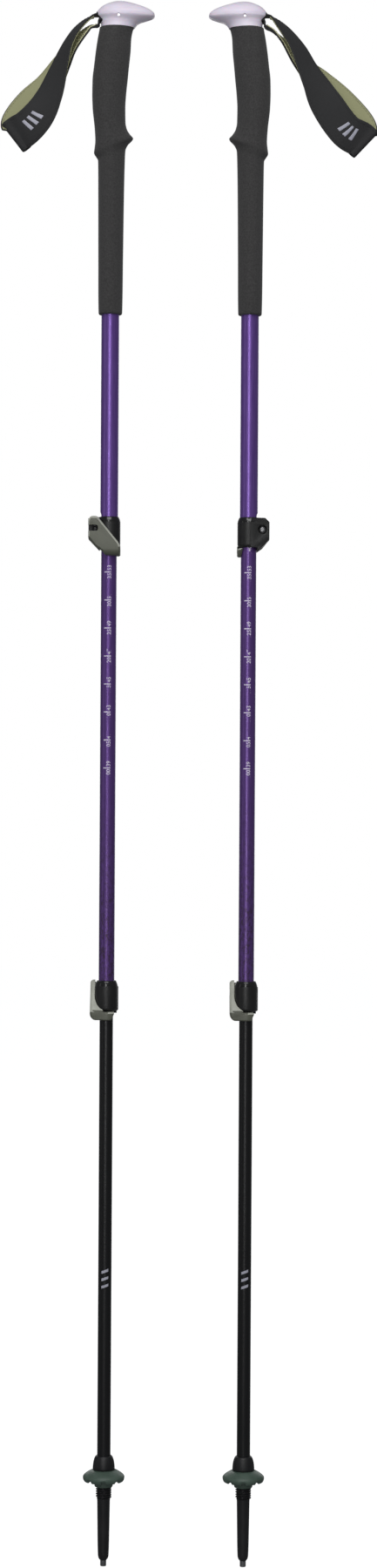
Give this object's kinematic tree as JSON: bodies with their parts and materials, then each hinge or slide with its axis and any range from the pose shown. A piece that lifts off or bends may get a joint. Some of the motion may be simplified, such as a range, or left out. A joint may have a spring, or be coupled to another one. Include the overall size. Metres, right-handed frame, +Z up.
{
  "type": "trekking poles",
  "caption": "Pair of telescoping trekking poles with lever clamps, foam grips, wrist straps, baskets and hard tips.",
  "frame": {"origin": "on the ground, midway between the two tips, with both poles upright at full length", "axes": "+Z up along the poles, +X from the left pole to the right pole, -Y the side with the length scales"},
  "size_m": [0.3379, 0.0397, 1.4],
  "materials": {
    "cap_plastic": "pale lavender moulded plastic, soft gloss",
    "grip_foam": "dark closed-cell EVA foam, matte",
    "core_plastic": "black moulded nylon",
    "webbing": "black woven webbing",
    "lining": "olive brushed lining",
    "purple_tube": "purple anodised aluminium, satin",
    "purple_tube_dark": "deeper purple aluminium fading to dark mottling",
    "black_tube": "black anodised aluminium, satin",
    "black_plastic": "black glass-filled nylon",
    "lever_alloy": "olive-grey painted forged lever",
    "black_steel": "blackened steel",
    "steel": "plain steel",
    "tip_plastic": "dark moulded plastic",
    "basket_plastic": "grey-green moulded plastic",
    "carbide": "sintered carbide, dull grey"
  },
  "bodies": {
    "left_upper": {"left_grip_foam": "grip_foam", "left_grip_core": "core_plastic", "left_grip_cap": "cap_plastic", "left_strap_pin": "steel", "left_strap_anchor": "webbing", "left_strap_wedge": "core_plastic", "left_upper_tube": "purple_tube", "left_upper_clamp_collar": "black_plastic", "left_upper_clamp_barrel": "steel", "left_upper_clamp_washer": "core_plastic"},
    "left_strap": {"left_strap_webbing": "webbing", "left_strap_lining": "lining"},
    "left_upper_lever": {"left_upper_clamp_lever": "lever_alloy"},
    "left_upper_screw": {"left_upper_clamp_screw": "black_steel"},
    "left_middle": {"left_middle_tube": "purple_tube_dark", "left_middle_bushing": "core_plastic", "left_lower_clamp_collar": "black_plastic", "left_lower_clamp_barrel": "steel", "left_lower_clamp_washer": "core_plastic"},
    "left_lower_lever": {"left_lower_clamp_lever": "lever_alloy"},
    "left_lower_screw": {"left_lower_clamp_screw": "black_steel"},
    "left_lower": {"left_lower_tube": "black_tube", "left_lower_bushing": "core_plastic", "left_tip_body": "tip_plastic", "left_carbide_tip": "carbide"},
    "left_basket": {"left_basket": "basket_plastic"},
    "right_upper": {"right_grip_foam": "grip_foam", "right_grip_core": "core_plastic", "right_grip_cap": "cap_plastic", "right_strap_pin": "steel", "right_strap_anchor": "webbing", "right_strap_wedge": "core_plastic", "right_upper_tube": "purple_tube", "right_upper_clamp_collar": "black_plastic", "right_upper_clamp_barrel": "steel", "right_upper_clamp_washer": "core_plastic"},
    "right_strap": {"right_strap_webbing": "webbing", "right_strap_lining": "lining"},
    "right_upper_lever": {"right_upper_clamp_lever": "lever_alloy"},
    "right_upper_screw": {"right_upper_clamp_screw": "black_steel"},
    "right_middle": {"right_middle_tube": "purple_tube_dark", "right_middle_bushing": "core_plastic", "right_lower_clamp_collar": "black_plastic", "right_lower_clamp_barrel": "steel", "right_lower_clamp_washer": "core_plastic"},
    "right_lower_lever": {"right_lower_clamp_lever": "lever_alloy"},
    "right_lower_screw": {"right_lower_clamp_screw": "black_steel"},
    "right_lower": {"right_lower_tube": "black_tube", "right_lower_bushing": "core_plastic", "right_tip_body": "tip_plastic", "right_carbide_tip": "carbide"},
    "right_basket": {"right_basket": "basket_plastic"}
  },
  "joints": [
    {"name": "left_middle_slide", "type": "slide", "parent": "left_upper", "child": "left_middle", "axis": [0, 0, 1], "range_m": [0, 0.375]},
    {"name": "left_lower_slide", "type": "slide", "parent": "left_middle", "child": "left_lower", "axis": [0, 0, 1], "range_m": [0, 0.375]},
    {"name": "left_upper_lever_open", "type": "hinge", "parent": "left_upper", "child": "left_upper_lever", "pos_m": [-0.0828, -0.0112, 0.9245], "axis": [0, 0, -1], "range_deg": [0, 100]},
    {"name": "left_lower_lever_open", "type": "hinge", "parent": "left_middle", "child": "left_lower_lever", "pos_m": [-0.0817, 0.0123, 0.5097], "axis": [0, 0, -1], "range_deg": [0, 100]},
    {"name": "left_upper_screw_turn", "type": "hinge", "parent": "left_upper", "child": "left_upper_screw", "pos_m": [-0.0828, 0, 0.92775], "axis": [0, 1, 0], "range_deg": [-180, 180]},
    {"name": "left_lower_screw_turn", "type": "hinge", "parent": "left_middle", "child": "left_lower_screw", "pos_m": [-0.0705, 0.0123, 0.51295], "axis": [1, 0, 0], "range_deg": [-180, 180]},
    {"name": "left_strap_swing", "type": "hinge", "parent": "left_upper", "child": "left_strap", "pos_m": [-0.086, 0, 1.3848], "axis": [0, 1, 0], "range_deg": [-12, 50]},
    {"name": "left_basket_unscrew", "type": "hinge", "parent": "left_lower", "child": "left_basket", "pos_m": [-0.0705, 0, 0.078], "axis": [0, 0, -1], "range_deg": [0, 540]},
    {"name": "right_middle_slide", "type": "slide", "parent": "right_upper", "child": "right_middle", "axis": [0, 0, 1], "range_m": [0, 0.375]},
    {"name": "right_lower_slide", "type": "slide", "parent": "right_middle", "child": "right_lower", "axis": [0, 0, 1], "range_m": [0, 0.375]},
    {"name": "right_upper_lever_open", "type": "hinge", "parent": "right_upper", "child": "right_upper_lever", "pos_m": [0.0668, 0.0112, 0.9245], "axis": [0, 0, -1], "range_deg": [0, 100]},
    {"name": "right_lower_lever_open", "type": "hinge", "parent": "right_middle", "child": "right_lower_lever", "pos_m": [0.0433, 0.0123, 0.5097], "axis": [0, 0, -1], "range_deg": [0, 100]},
    {"name": "right_upper_screw_turn", "type": "hinge", "parent": "right_upper", "child": "right_upper_screw", "pos_m": [0.0668, 0, 0.92775], "axis": [0, -1, 0], "range_deg": [-180, 180]},
    {"name": "right_lower_screw_turn", "type": "hinge", "parent": "right_middle", "child": "right_lower_screw", "pos_m": [0.0545, 0.0123, 0.51295], "axis": [1, 0, 0], "range_deg": [-180, 180]},
    {"name": "right_strap_swing", "type": "hinge", "parent": "right_upper", "child": "right_strap", "pos_m": [0.07, 0, 1.3848], "axis": [0, -1, 0], "range_deg": [-12, 50]},
    {"name": "right_basket_unscrew", "type": "hinge", "parent": "right_lower", "child": "right_basket", "pos_m": [0.0545, 0, 0.078], "axis": [0, 0, -1], "range_deg": [0, 540]},
    {"name": "right_pole_apart", "type": "slide", "parent": "left_upper", "child": "right_upper", "axis": [1, 0, 0], "range_m": [0, 0.3]}
  ]
}
